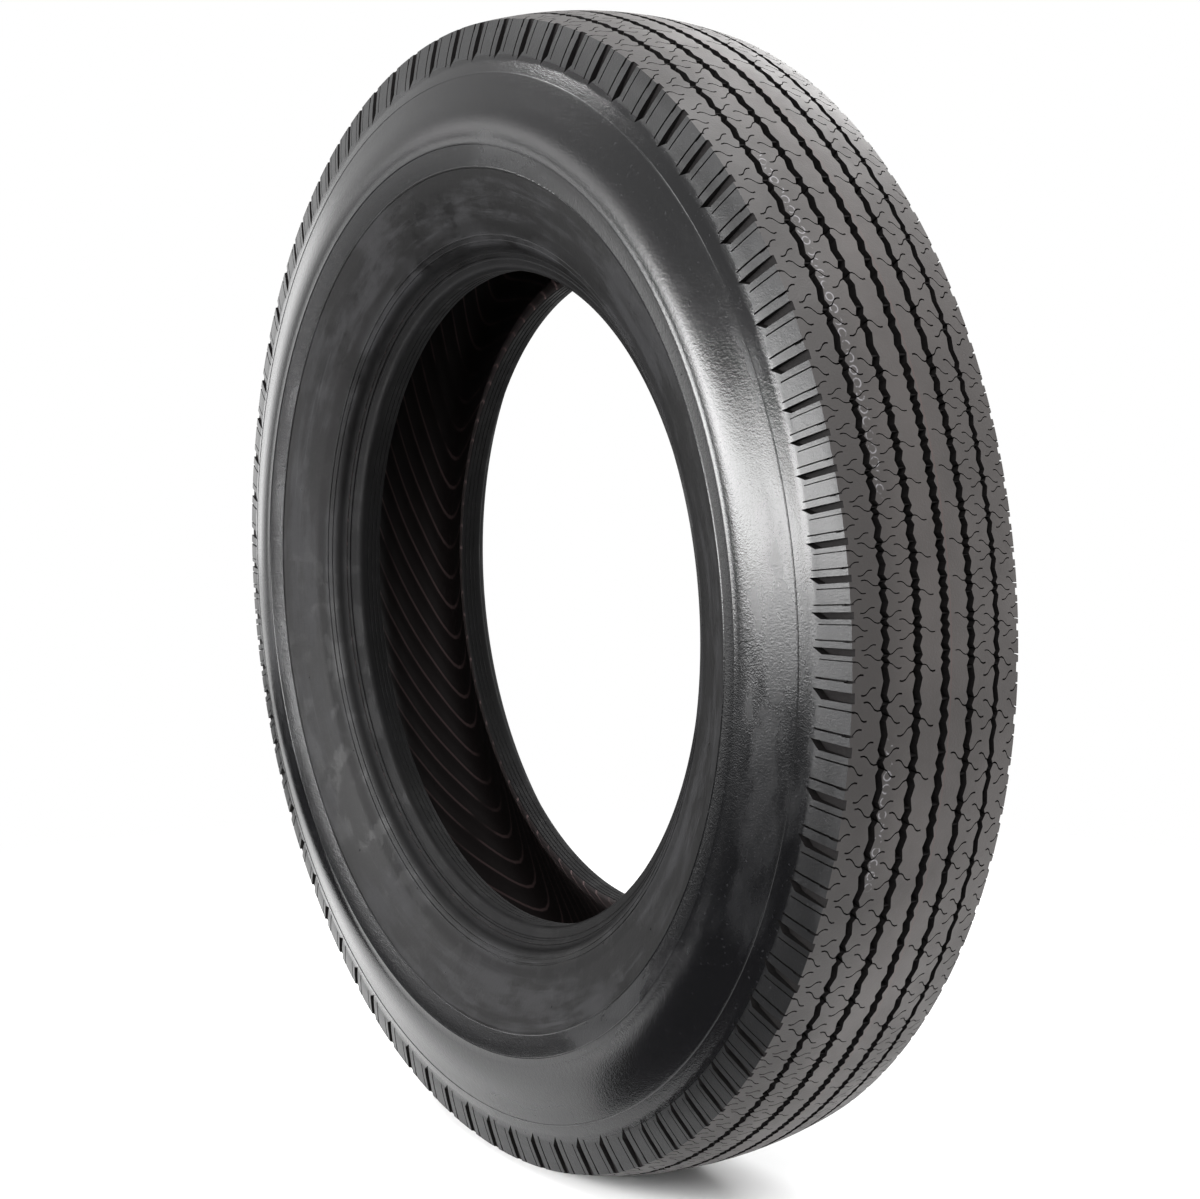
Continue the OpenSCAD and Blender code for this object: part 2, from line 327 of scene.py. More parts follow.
def casing_outline():
    """The casing's section: sidewalls, beads and lining, and a seat under the tread band."""
    s = bpy.context.scene.tyre_sizes
    line_r = shoulder_end().y - TOP_LINE_BELOW
    side = outer_side()
    rings_r = section_middle() + RINGS_UP
    rib_r = s.seat_r + RIB_UP
    for zero, lines in ((rings_r, RING_LINES), (rib_r, RIB_LINES), (s.seat_r, TOE_LINES)):
        for up, width, height in lines:
            side = with_ridge(side, zero + up * MM, width * MM, height * MM)
    start = point_at(side, line_r)[0]
    seat = [Vector((w * MM, tread_r(w * MM) - s.groove_depth - 1 * MM)) for w in (0, 15, 30, 45)]
    seat += [Vector((s.tread_half - 0.002, line_r + 0.017)), start + Vector((-9.3, 8.0)) * MM,
             start + Vector((-1.4, 0.8)) * MM]
    flank = [start] + [p for p in side if p.y < start.y - 0.4 * MM]
    heel_r = 0.0035
    heel_mid = Vector((flank[-1].x - heel_r, s.seat_r + heel_r))
    heel = [heel_mid + Vector((math.cos(a), -math.sin(a))) * heel_r
            for a in (math.radians(d) for d in (15, 30, 45, 60, 75, 90))]
    toe_w = heel_mid.x - 0.012
    ribs = []
    for k in range(SEAT_RIBS):
        w = heel_mid.x - (FIRST_SEAT_RIB + SEAT_RIB_STEP * k) * MM
        ribs += [Vector((w, s.seat_r)), Vector((w - 0.3 * MM, s.seat_r + 0.3 * MM)),
                 Vector((w - 0.7 * MM, s.seat_r + 0.3 * MM)), Vector((w - 1.0 * MM, s.seat_r))]
    toe = [Vector((toe_w + 0.8 * MM, s.seat_r)), Vector((toe_w, s.seat_r + 0.5 * MM))]
    inner = curve_through((
        (toe_w, s.seat_r + 0.003), (0.0375, s.seat_r + 0.012), (0.047, rib_r),
        (0.0648, 0.263), (0.0705, rings_r), (0.0600, 0.311), (0.0480, 0.329),
        (0.0350, 0.3405), (0, 0.344)), 5)
    half = seat + flank + heel + ribs + toe + inner
    return [Vector((-p.x, p.y)) for p in reversed(half)] + half[1:-1]


# Mesh helpers

def object_from(bm, name):
    """A new object from a bmesh, which is freed."""
    mesh = bpy.data.meshes.new(name)
    bm.to_mesh(mesh)
    bm.free()
    piece = bpy.data.objects.new(name, mesh)
    bpy.context.scene.collection.objects.link(piece)
    return piece


def loft(bm, rings):
    """A closed solid through rings of points, each with as many points as the first."""
    verts = [bm.verts.new(p) for p in rings[0]]
    first = [bm.edges.new(pair) for pair in zip(verts, verts[1:] + verts[:1])]
    place = {v: i for i, v in enumerate(verts)}
    edges = list(first)
    for ring in rings[1:]:
        made = bmesh.ops.extrude_edge_only(bm, edges=edges)["geom"]
        moved = {}
        for v in made:
            if isinstance(v, bmesh.types.BMVert):
                old = next(e.other_vert(v) for e in v.link_edges if e.other_vert(v) in place)
                moved[v] = place[old]
        for v, i in moved.items():
            v.co = ring[i]
        edges = [e for e in made if isinstance(e, bmesh.types.BMEdge)
                 and all(v in moved for v in e.verts)]
        place = moved
    bmesh.ops.contextual_create(bm, geom=first)
    bmesh.ops.contextual_create(bm, geom=edges)


def apply_boolean(piece, tools, operation):
    """Cut the tools' solids out of a piece, or join them to it, and keep the result."""
    bmesh.ops.recalc_face_normals(tools, faces=tools.faces)
    tool = object_from(tools, "tool")
    step = piece.modifiers.new("step", "BOOLEAN")
    step.object = tool
    step.operation = operation
    step.solver = "EXACT"
    graph = bpy.context.evaluated_depsgraph_get()
    made = bpy.data.meshes.new_from_object(piece.evaluated_get(graph))
    piece.modifiers.clear()
    old = piece.data
    piece.data = made
    bpy.data.meshes.remove(old)
    bpy.data.objects.remove(tool)


def turned_share(share):
    """The share at which a feature at this share lies on the far half of the tread."""
    return (TURN_SHARE - share) % 1.0


def turned_rings(rings):
    """The same solid, turned end for end onto the far half of the tread."""
    turn_x = TURN_SHARE * LONG_PITCH
    return [[(turn_x - x, -w, r) for x, w, r in ring] for ring in rings]


def in_pitch(rings):
    """The places at which a repeated solid meets one pitch, as shifts along it."""
    low = min(p[0] for ring in rings for p in ring)
    high = max(p[0] for ring in rings for p in ring)
    return [k * LONG_PITCH for k in range(-3, 4)
            if high + k * LONG_PITCH > -1 * MM and low + k * LONG_PITCH < LONG_PITCH + 1 * MM]


def add_repeated(bm, rings, both_halves=True):
    """Add a solid wherever its repeats meet the pitch, on one or both halves of the tread."""
    for solid in (rings, turned_rings(rings)) if both_halves else (rings,):
        for shift in in_pitch(solid):
            loft(bm, [[(x + shift, w, r) for x, w, r in ring] for ring in solid])


# The tools that cut one pitch of the tread

def all_grooves():
    """The five grooves: the near two, the middle one, and the near two turned."""
    turned = [(-w, width, tuple(turned_share(t) for t in far), tuple(turned_share(t) for t in near))
              for w, width, near, far in GROOVES[:2]]
    return list(GROOVES) + turned


def groove_solids(bm):
    """Zigzag grooves that run the whole length of the pitch and a little past it."""
    s = bpy.context.scene.tyre_sizes
    for w, width, near, far in all_grooves():
        top = tread_r(w) + 3 * MM
        floor = tread_r(w) - s.groove_depth
        half, floor_half = width / 2 + 0.3 * MM, (width - s.groove_taper) / 2
        tips = sorted([(t + turn, -1) for t in near for turn in (-1, 0, 1)]
                      + [(t + turn, 1) for t in far for turn in (-1, 0, 1)])
        tips = [t for t in tips if -0.6 < t[0] < 1.6]
        loft(bm, [[(t * LONG_PITCH, w + side * s.zigzag + dw, r) for dw, r in
                   ((-half, top), (half, top), (floor_half, floor), (-floor_half, floor))]
                  for t, side in tips])


def tie_bar_solids(bm):
    """Thin bars that tie the ribs across the grooves."""
    s = bpy.context.scene.tyre_sizes
    thick = 0.5 * MM
    for w, width, *_ in all_grooves():
        x = (TIE_BAR_SHARE if w <= 0 else turned_share(TIE_BAR_SHARE)) * LONG_PITCH
        half = width / 2 + 0.9 * MM
        low, high = tread_r(w) - s.groove_depth - 0.6 * MM, tread_r(w) - 1.2 * MM
        loft(bm, [[(x + dx, w - half, low), (x + dx, w + half, low),
                   (x + dx, w + half, high), (x + dx, w - half, high)]
                  for dx in (-thick, thick)])


def sipe_solids(bm):
    """Fine S-shaped cuts in the ribs, as thin curved blades."""
    s = bpy.context.scene.tyre_sizes
    for w0, x0, w1, x1 in SIPES:
        start = Vector((x0 * MM + TIE_BAR_SHARE * LONG_PITCH, w0 * MM))
        end = Vector((x1 * MM + TIE_BAR_SHARE * LONG_PITCH, w1 * MM))
        along, across = (end.x - start.x) * SIPE_REACH, end.y - start.y
        line = [start + Vector((along * t, across * step)) for step, t in SIPE_CURVE]
        half = s.sipe_width / 2
        sides = [p + Vector((half, 0)) for p in line] + [p - Vector((half, 0)) for p in reversed(line)]
        floor = tread_r(min(max(abs(w0), abs(w1)) * MM, s.tread_half)) - s.sipe_depth
        add_repeated(bm, [[(p.x, p.y, r) for p in sides] for r in (floor, s.crown_r + 1 * MM)])


def shoulder_point(down, depth):
    """A place at the near shoulder: a way down from the tread's edge, and a depth under it."""
    s = bpy.context.scene.tyre_sizes
    edge = Vector((-s.tread_half, tread_r(s.tread_half)))
    slope = Vector((-s.shoulder_out, -s.serration_h)).normalized()
    return edge + slope * down + Vector((-slope.y, slope.x)) * depth


def shoulder_length():
    """Length of the serrations, from the tread's edge down to the smooth sidewall."""
    s = bpy.context.scene.tyre_sizes
    return math.hypot(s.shoulder_out, s.serration_h)


def recess_solids(bm):
    """The wide recess of each pitch, with a floor along the shoulder and a slanted lower end."""
    s = bpy.context.scene.tyre_sizes
    reach = shoulder_length()
    rings = []
    for share, rise in RECESS_SIDES:
        points = (
            shoulder_point(-3.2 * MM, 1.1 * MM),
            shoulder_point(reach - rise - RECESS_RAMP, s.recess_depth),
            shoulder_point(reach - rise + 1.0 * MM, -1.6 * MM),
            shoulder_point(reach - rise + 1.0 * MM, -9 * MM),
            shoulder_point(-3.2 * MM, -9 * MM))
        rings.append([(share * LONG_PITCH, p.x, p.y) for p in points])
    add_repeated(bm, rings)
    bmesh.ops.triangulate(bm, faces=bm.faces)


def slit_solids(bm):
    """The two narrow slits of each pitch, cut square into the shoulder."""
    s = bpy.context.scene.tyre_sizes
    reach = shoulder_length()
    for share, length, half in SLITS:
        points = (
            shoulder_point(-3.0 * MM, s.slit_depth * 0.6),
            shoulder_point(reach * length - 2.2 * MM, s.slit_depth),
            shoulder_point(reach * length + 1.2 * MM, -1.0 * MM),
            shoulder_point(reach * length + 1.2 * MM, -8 * MM),
            shoulder_point(-3.0 * MM, -8 * MM))
        add_repeated(bm, [[(share * LONG_PITCH + side * half, p.x, p.y) for p in points]
                          for side in (-1, 1)])


# One pitch, and the band made of all of them

def match_ends(bm):
    """Dissolve end points that have no partner at the other end, so that pitches weld."""
    def ends(x):
        return [v for v in bm.verts if abs(v.co.x - x) < 1e-6]

    def keys(verts):
        return {(round(v.co.y * 2e4), round(v.co.z * 2e4)) for v in verts}

    near, far = ends(0.0), ends(LONG_PITCH)
    near_keys, far_keys = keys(near), keys(far)

    def lonely(verts, others):
        return [v for v in verts if not any(
            (round(v.co.y * 2e4) + i, round(v.co.z * 2e4) + j) in others
            for i in (-1, 0, 1) for j in (-1, 0, 1))]

    extra = lonely(near, far_keys) + lonely(far, near_keys)
    if extra:
        bmesh.ops.dissolve_verts(bm, verts=extra)


def make_pitch():
    """One pitch of the tread band, straight, with its length along X and its radius along Z."""
    outline = band_outline()
    bm = bmesh.new()
    loft(bm, [[(x, p.x, p.y) for p in outline] for x in (0.0, LONG_PITCH / 2, LONG_PITCH)])
    bmesh.ops.recalc_face_normals(bm, faces=bm.faces)
    pitch = object_from(bm, "pitch")
    for solids, operation in ((groove_solids, "DIFFERENCE"), (tie_bar_solids, "UNION"),
                              (sipe_solids, "DIFFERENCE"), (recess_solids, "DIFFERENCE"),
                              (slit_solids, "DIFFERENCE")):
        tools = bmesh.new()
        solids(tools)
        apply_boolean(pitch, tools, operation)
    bm = bmesh.new()
    bm.from_mesh(pitch.data)
    caps = [f for f in bm.faces if all(abs(v.co.x) < 1e-6 for v in f.verts)
            or all(abs(v.co.x - LONG_PITCH) < 1e-6 for v in f.verts)]
    bmesh.ops.delete(bm, geom=caps, context="FACES")
    match_ends(bm)
    for f in bm.faces:
        f.material_index = band_material(f.calc_center_median())
    bmesh.ops.triangulate(bm, faces=bm.faces)
    mesh = bpy.data.meshes.new("pitch")
    bm.to_mesh(mesh)
    bm.free()
    bpy.data.objects.remove(pitch)
    return mesh


def band_material(centre):
    """Slot of a face of the band: 0 the ribs' tops, 1 the cuts, 2 the shoulders and flanks."""
    s = bpy.context.scene.tyre_sizes
    w = abs(centre.y)
    if w < s.tread_half - 0.6 * MM and centre.z > tread_r(w) - 0.3 * MM:
        return 0
    skin = point_at(shoulder_line(), centre.z)[0].x if centre.z < tread_r(s.tread_half) else 1
    # Faces sunk into the shoulder take slot 1 as painted shade, which darkens the recesses and slits.
    return 2 if w > skin - 0.5 * MM else 1


def pitch_angles():
    """The start angle and the span of each pitch, going down from the first."""
    rows = [units for _ in range(GROUP_ROUNDS) for count, units in PITCH_GROUPS
            for _ in range(count)]
    unit = 2 * math.pi / sum(rows)
    angle = FIRST_PITCH_ANGLE
    for units in rows:
        yield angle, units * unit
        angle -= units * unit


def wrap_pitches(mesh):
    """All pitches of the band, bent round the axle and welded into one ring."""
    bm = bmesh.new()
    count = 0
    for start, span in pitch_angles():
        bm.from_mesh(mesh)
        bm.verts.ensure_lookup_table()
        for v in bm.verts[count:]:
            a = start - v.co.x / LONG_PITCH * span
            v.co = Vector((v.co.z * math.cos(a), v.co.y, v.co.z * math.sin(a)))
        count = len(bm.verts)
    bmesh.ops.remove_doubles(bm, verts=bm.verts, dist=0.03 * MM)
    return bm


def finish_piece(piece, materials):
    """Smooth shading with sharp edges, the materials, and the link to the frame."""
    for polygon in piece.data.polygons:
        polygon.use_smooth = True
    piece.data.set_sharp_from_angle(angle=SHARP_ANGLE)
    for material in materials:
        piece.data.materials.append(material)
    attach(piece, "root")


# Materials

class Shading:
    """A material's node tree, with short calls for the nodes that it needs."""

    def __init__(self, name):
        self.material = bpy.data.materials.new(name)
        self.material.use_nodes = True
        self.tree = self.material.node_tree
        self.bsdf = self.tree.nodes["Principled BSDF"]
        self.place = self.tree.nodes.new("ShaderNodeTexCoord").outputs["Object"]
        split = self.tree.nodes.new("ShaderNodeSeparateXYZ")
        self.tree.links.new(self.place, split.inputs[0])
        self.x, self.w, self.z = split.outputs
        self.angle = self.math("ARCTAN2", self.z, self.x)
        self.r = self.math("SQRT", self.math("ADD", self.math("MULTIPLY", self.x, self.x),
                                             self.math("MULTIPLY", self.z, self.z)))

    def put(self, socket, value):
        """Link an output, or set a number or colour, on an input socket."""
        if isinstance(value, bpy.types.NodeSocket):
            self.tree.links.new(value, socket)
        elif hasattr(value, "__len__") and len(value) == 3 and socket.type == "RGBA":
            socket.default_value = (*value, 1.0)
        else:
            socket.default_value = value

    def math(self, operation, a, b=0.0, c=0.0, clamp=False):
        """A Math node."""
        node = self.tree.nodes.new("ShaderNodeMath")
        node.operation = operation
        node.use_clamp = clamp
        for socket, value in zip(node.inputs, (a, b, c)):
            self.put(socket, value)
        return node.outputs[0]

    def ramp(self, value, low, high, out_low=0.0, out_high=1.0):
        """A smooth step from one value to another."""
        node = self.tree.nodes.new("ShaderNodeMapRange")
        node.interpolation_type = "SMOOTHSTEP"
        for socket, v in zip(node.inputs, (value, low, high, out_low, out_high)):
            self.put(socket, v)
        return node.outputs[0]

    def window(self, value, low, high, soft):
        """1 between two values and 0 outside, with soft edges."""
        up = self.ramp(value, low - soft, low + soft)
        down = self.ramp(value, high - soft, high + soft, 1.0, 0.0)
        return self.math("MULTIPLY", up, down)

    def noise(self, scale, detail=3.0, roughness=0.5, vector=None, stretch=None):
        """Noise on object coordinates, or on another vector, stretched if asked."""
        vector = vector or self.place
        if stretch:
            mapping = self.tree.nodes.new("ShaderNodeMapping")
            self.put(mapping.inputs["Vector"], vector)
            mapping.inputs["Scale"].default_value = stretch
            vector = mapping.outputs[0]
        node = self.tree.nodes.new("ShaderNodeTexNoise")
        self.put(node.inputs["Vector"], vector)
        node.inputs["Scale"].default_value = scale
        node.inputs["Detail"].default_value = detail
        node.inputs["Roughness"].default_value = roughness
        return node.outputs["Fac"]

    def polar(self, turns=1.0, across=1.0, radial=1.0):
        """A vector of the distance round the tyre, across it and out from the axle."""
        node = self.tree.nodes.new("ShaderNodeCombineXYZ")
        self.put(node.inputs[0], self.math("MULTIPLY", self.angle, 0.3 * turns))
        self.put(node.inputs[1], self.math("MULTIPLY", self.w, across))
        self.put(node.inputs[2], self.math("MULTIPLY", self.r, radial))
        return node.outputs[0]

    def mix(self, factor, a, b):
        """A mix of two colours."""
        node = self.tree.nodes.new("ShaderNodeMix")
        node.data_type = "RGBA"
        self.put(node.inputs[0], factor)
        self.put(node.inputs[6], a)
        self.put(node.inputs[7], b)
        return node.outputs[2]

    def bump(self, height, strength, distance, normal=None):
        """A Bump node."""
        node = self.tree.nodes.new("ShaderNodeBump")
        node.inputs["Strength"].default_value = strength
        node.inputs["Distance"].default_value = distance
        self.put(node.inputs["Height"], height)
        if normal is not None:
            self.put(node.inputs["Normal"], normal)
        return node.outputs[0]

    def finish(self, colour, roughness, normal, specular):
        """Feed the shader and return the material."""
        self.put(self.bsdf.inputs["Base Color"], colour)
        self.put(self.bsdf.inputs["Roughness"], roughness)
        self.put(self.bsdf.inputs["Normal"], normal)
        self.bsdf.inputs["Specular IOR Level"].default_value = specular
        return self.material


# Faint chalk ovals on a near rib: their spacing and the two groups of them, in degrees
CHALK_STEP = 1.15
CHALK_GROUPS = ((-19.0, -5.5), (15.0, 49.0))


def tread_rubber():
    """Matt rubber of the ribs, darker towards the near side, with chalk ovals and a thin line."""
    looks = bpy.context.scene.tyre_looks
    shade = Shading("tread rubber")
    patches = shade.noise(14.0, 5.0, 0.6)
    grain = shade.noise(900.0, 2.0)
    colour = shade.mix(shade.ramp(patches, 0.35, 0.7), looks.tread_colour,
                       [c * 0.72 for c in looks.tread_colour])
    colour = shade.mix(shade.math("MULTIPLY", shade.ramp(grain, 0.55, 0.8), 0.35), colour,
                       looks.scuff_colour)
    outer = shade.ramp(shade.w, -0.010, -0.046)
    colour = shade.mix(shade.math("MULTIPLY", outer, 0.72), colour, (0.010, 0.008, 0.0075))
    cell = shade.math("FRACT", shade.math("MULTIPLY", shade.angle, 180 / math.pi / CHALK_STEP))
    along = shade.math("MULTIPLY", shade.math("SUBTRACT", cell, 0.5), 2.5)
    across = shade.math("MULTIPLY", shade.math("ADD", shade.w, 0.0328), 1 / 0.0025)
    oval = shade.math("SQRT", shade.math("ADD", shade.math("MULTIPLY", along, along),
                                         shade.math("MULTIPLY", across, across)))
    marks = shade.window(oval, 0.72, 0.98, 0.12)
    groups = shade.math("ADD", *(shade.window(shade.angle, math.radians(low), math.radians(high),
                                              0.01) for low, high in CHALK_GROUPS))
    broken = shade.ramp(shade.noise(210.0, 2.0, 0.6), 0.44, 0.56)
    chalk = shade.math("MULTIPLY", shade.math("MULTIPLY", marks, broken), groups)
    colour = shade.mix(shade.math("MULTIPLY", chalk, 0.5), colour, looks.chalk_colour)
    line = shade.window(shade.w, 0.0037, 0.0043, 0.0003)
    colour = shade.mix(shade.math("MULTIPLY", line, 0.3), colour, (0.10, 0.035, 0.03))
    normal = shade.bump(grain, 0.35, 0.4 * MM)
    return shade.finish(colour, shade.ramp(patches, 0.3, 0.7, 0.52, 0.66), normal, 0.5)


def groove_rubber_and_recess_shade():
    """Darker rubber inside the grooves and cuts; on the shoulder's recesses and slits it is painted
    shade, its weak gloss keeping them dark.
    """
    looks = bpy.context.scene.tyre_looks
    shade = Shading("groove rubber and recess shade")
    grain = shade.noise(500.0, 3.0)
    colour = shade.mix(shade.ramp(grain, 0.3, 0.8), looks.groove_colour,
                       [c * 1.5 for c in looks.groove_colour])
    return shade.finish(colour, 0.7, shade.bump(grain, 0.2, 0.3 * MM), 0.06)


def sidewall_rubber():
    """Glossy near-black rubber of the sidewall, grained and smeared, duller on the shoulder, with the
    smears weakened on the +X side as painted shade.
    """
    looks = bpy.context.scene.tyre_looks
    shade = Shading("sidewall rubber")
    cloud = shade.noise(7.0, 6.0, 0.62, shade.polar(0.7, 1.0, 2.2))
    smear = shade.ramp(cloud, 0.5, 0.64)
    specks = shade.ramp(shade.noise(520.0, 2.0, 0.5), 0.66, 0.74)
    # The grey smears are scuffs, but this ramp on x is painted shade: it weakens them on the +X side,
    # which stays near black, and keeps more of them on the -X side.
    left = shade.ramp(shade.x, 0.08, -0.12, 0.06, 0.16)
    colour = shade.mix(shade.math("MULTIPLY", smear, left), looks.side_colour, looks.scuff_colour)
    colour = shade.mix(shade.math("MULTIPLY", specks, 0.2), colour, looks.scuff_colour)
    pads = shade.ramp(shade.r, 0.3305, 0.3335)
    roughness = shade.math("MULTIPLY_ADD", smear, 0.12, 0.20)
    roughness = shade.math("MULTIPLY_ADD", pads, 0.17, roughness)
    normal = shade.bump(shade.noise(430.0, 2.0, 0.6), 0.17, 0.5 * MM)
    normal = shade.bump(shade.noise(1050.0, 2.0, 0.5), 0.42, 0.25 * MM, normal)
    return shade.finish(colour, roughness, normal, 0.27)


def lower_rubber():
    """Duller rubber inside the lower ring, rubbed and scratched, nearly black at the bead."""
    looks = bpy.context.scene.tyre_looks
    shade = Shading("lower sidewall rubber")
    cloud = shade.noise(11.0, 6.0, 0.65, shade.polar(0.8, 1.0, 1.6))
    rubs = shade.noise(34.0, 5.0, 0.7, shade.polar(0.35, 1.0, 3.0))
    wear = shade.ramp(shade.math("ADD", shade.math("MULTIPLY", cloud, 0.6),
                                 shade.math("MULTIPLY", rubs, 0.4)), 0.46, 0.58)
    scratches = shade.ramp(shade.noise(120.0, 3.0, 0.6, shade.polar(0.08, 1.0, 3.0)), 0.62, 0.7)
    colour = shade.mix(shade.math("MULTIPLY", wear, 0.15), looks.lower_colour, looks.scuff_colour)
    colour = shade.mix(shade.math("MULTIPLY", scratches, 0.10), colour, looks.scuff_colour)
    bead = shade.math("MAXIMUM", shade.ramp(shade.r, 0.2205, 0.2175), shade.math(
        "MULTIPLY", shade.window(shade.r, 0.2265, 0.2335, 0.002), 0.7))
    colour = shade.mix(shade.math("MULTIPLY", bead, 0.8), colour, (0.0006, 0.0005, 0.0006))
    wet = shade.ramp(shade.noise(46.0, 4.0, 0.6, shade.polar(0.8, 1.0, 1.2)), 0.52, 0.6)
    roughness = shade.math("MULTIPLY_ADD", wear, 0.10, 0.47)
    roughness = shade.math("MULTIPLY_ADD", wet, -0.10, roughness)
    normal = shade.bump(shade.noise(420.0, 3.0, 0.6), 0.22, 0.4 * MM)
    roughness = shade.math("MULTIPLY_ADD", bead, 0.12, roughness)
    return shade.finish(colour, roughness, normal, 0.085)


# Slanted lines of the lining, counted round the tyre
CORD_LINES = 82


def liner_rubber():
    """Brown-black lining with the fine slanted lines of the cords under it."""
    looks = bpy.context.scene.tyre_looks
    shade = Shading("liner rubber")
    wave = shade.math("SINE", shade.math("SUBTRACT",
                                         shade.math("MULTIPLY", shade.w, 2 * math.pi / 0.0068),
                                         shade.math("MULTIPLY", shade.angle, CORD_LINES)))
    line = shade.ramp(wave, 0.86, 1.0)
    broken = shade.ramp(shade.noise(18.0, 3.0, 0.6, shade.polar(1.0, 1.0, 1.0)), 0.3, 0.55)
    line = shade.math("MULTIPLY", line, broken)
    colour = shade.mix(line, looks.liner_colour, [c * 9 for c in looks.liner_colour])
    normal = shade.bump(wave, 0.25, 0.5 * MM)
    return shade.finish(colour, 0.55, normal, 0.35)


# Operators

class TYRE_OT_tread(bpy.types.Operator):
    """Make the tread band: ribs, zigzag grooves, fine cuts and serrated shoulders."""
    bl_idname = "tyre.tread"
    bl_label = "Tread Band"

    def execute(self, context):
        band = object_from(wrap_pitches(make_pitch()), "tread_band")
        finish_piece(band, (tread_rubber(), groove_rubber_and_recess_shade(), sidewall_rubber()))
        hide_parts("tyre")
        return {"FINISHED"}


class TYRE_OT_casing(bpy.types.Operator):
    """Make the casing: sidewalls with their rings and pips, beads and lining."""
    bl_idname = "tyre.casing"
    bl_label = "Casing"

    def execute(self, context):
        bm = bmesh.new()
        verts = [bm.verts.new((p.y, p.x, 0)) for p in casing_outline()]
        edges = [bm.edges.new(pair) for pair in zip(verts, verts[1:] + verts[:1])]
        bmesh.ops.spin(bm, geom=verts + edges, cent=(0, 0, 0), axis=(0, 1, 0),
                       angle=2 * math.pi, steps=SPIN_STEPS, use_merge=True)
        bmesh.ops.remove_doubles(bm, verts=bm.verts, dist=0.01 * MM)
        bmesh.ops.recalc_face_normals(bm, faces=bm.faces)
        for f in bm.faces:
            f.material_index = casing_material(f.calc_center_median(), f.normal)
        skin_faces = len(bm.faces)
        add_pips(bm)
        bm.faces.ensure_lookup_table()
        for f in bm.faces[skin_faces:]:
            r = math.hypot(f.verts[0].co.x, f.verts[0].co.z)
            f.material_index = 0 if r > GLOSSY_PIPS_FROM else 1
        casing = object_from(bm, "casing")
        finish_piece(casing, (bpy.data.materials["sidewall rubber"], lower_rubber(),
                              liner_rubber()))
        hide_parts("tyre")
        return {"FINISHED"}


# Moulding pips on both sidewalls: radius of a ring of them and the angle of its first one
PIP_RINGS = ((226 * MM, 3.2), (250 * MM, 18.5), (272 * MM, 3.6))
PIPS_IN_RING = 12
PIP_SIZE = 0.75 * MM
PIP_SUNK = 0.3 * MM

# The slots of the casing change at the lower ring, which is a way below the section's middle,
# and the lining starts between the beads' toes and a little above the bead seats
LOWER_RING_DOWN = 16.4 * MM
GLOSSY_PIPS_FROM = 0.2645
TOE_W = 0.0325
LINING_UP = 1.2 * MM


def add_pips(bm):
    """The small raised pips that the mould's vents leave."""
    for r, first in PIP_RINGS:
        skin = point_at(outer_side(), r)[0]
        for side in (-1, 1):
            for k in range(PIPS_IN_RING):
                a = math.radians(first + k * 360 / PIPS_IN_RING)
                place = Vector((r * math.cos(a), side * (skin.x - PIP_SUNK), r * math.sin(a)))
                bmesh.ops.create_icosphere(bm, subdivisions=1, radius=PIP_SIZE,
                                           matrix=Matrix.Translation(place))


def casing_material(centre, normal):
    """Slot of a face of the casing: 0 the outer sidewall, 1 inside its ring, 2 the lining."""
    s = bpy.context.scene.tyre_sizes
    r = math.hypot(centre.x, centre.z)
    outwards = (normal.x * centre.x + normal.z * centre.z) / r
    inside = abs(centre.y) < TOE_W or normal.y * centre.y < 0 or (outwards < -0.6 and r > 0.3)
    if inside and r > s.seat_r + LINING_UP:
        return 2
    return 0 if r > section_middle() - LOWER_RING_DOWN else 1


class TYRE_OT_studio(bpy.types.Operator):
    """Make the floor, the background, the lamps and the camera."""
    bl_idname = "tyre.studio"
    bl_label = "Studio"

    def execute(self, context):
        make_floor()
        make_cards()
        make_lamps()
        make_world()
        make_camera()
        context.scene.view_settings.view_transform = "Standard"
        return {"FINISHED"}


def background_rays(tree):
    """1 for the rays that see the background: camera, glossy and transmission rays."""
    path = tree.nodes.new("ShaderNodeLightPath")
    total = path.outputs["Is Camera Ray"]
    for name in ("Is Glossy Ray", "Is Transmission Ray"):
        node = tree.nodes.new("ShaderNodeMath")
        node.operation = "MAXIMUM"
        tree.links.new(total, node.inputs[0])
        tree.links.new(path.outputs[name], node.inputs[1])
        total = node.outputs[0]
    return total


